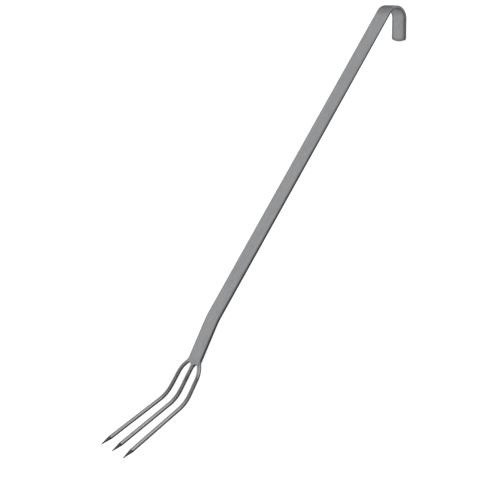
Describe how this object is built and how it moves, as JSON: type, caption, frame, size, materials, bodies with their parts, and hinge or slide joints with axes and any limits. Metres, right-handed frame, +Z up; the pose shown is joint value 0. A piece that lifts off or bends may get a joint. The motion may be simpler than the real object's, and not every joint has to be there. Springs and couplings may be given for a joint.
{
  "type": "long-handled fork",
  "caption": "Long flat steel handle bar with a hanging hook at one end and round pointed tines, curved forward from a shallow neck, welded to the other, for lifting and piercing.",
  "frame": {"origin": "centre of the bounding box's footprint, at the level of the surface the fork lies on", "axes": "+X from the hanging hook to the points of the tines; +Y across the bar, to the left seen from the hook; +Z up, the side the tines curve to"},
  "size_m": [0.5181, 0.0404, 0.0389],
  "materials": {
    "bar_steel": "satin, grain along the bar",
    "tine_steel": "satin drawn rod, ground points",
    "weld_steel": "ground flush and blended"
  },
  "bodies": {
    "root": {"handle_bar": "bar_steel", "tine_left": "tine_steel", "tine_centre": "tine_steel", "tine_right": "tine_steel", "weld_shoulder_left": "weld_steel", "weld_shoulder_right": "weld_steel", "weld_crotch_left": "weld_steel", "weld_crotch_right": "weld_steel"}
  },
  "joints": []
}
